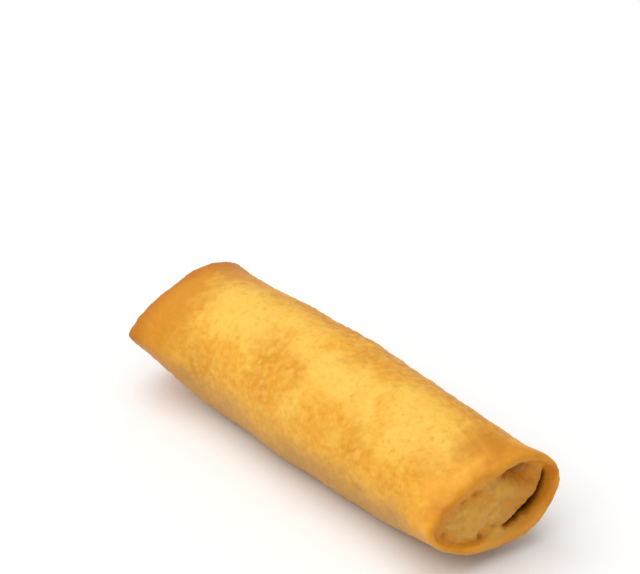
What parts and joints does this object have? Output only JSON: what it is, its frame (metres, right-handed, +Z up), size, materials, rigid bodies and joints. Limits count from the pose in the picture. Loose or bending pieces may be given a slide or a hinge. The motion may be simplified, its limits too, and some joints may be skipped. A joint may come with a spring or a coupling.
{
  "type": "fried spring roll",
  "caption": "Golden fried spring roll lying on its side, a crisp wrapper rolled round its filling with the wrapper tucked into a shallow pocket at each end.",
  "frame": {"origin": "middle of the bounding box's bottom face, on the table under the roll", "axes": "+X along the roll towards the rounder open end, +Y across it, +Z up"},
  "size_m": [0.1162, 0.0401, 0.0336],
  "materials": {
    "fried_wrapper": "golden fried wheat wrapper, mottled and slightly oily"
  },
  "bodies": {
    "root": {"spring_roll": "fried_wrapper"}
  },
  "joints": []
}
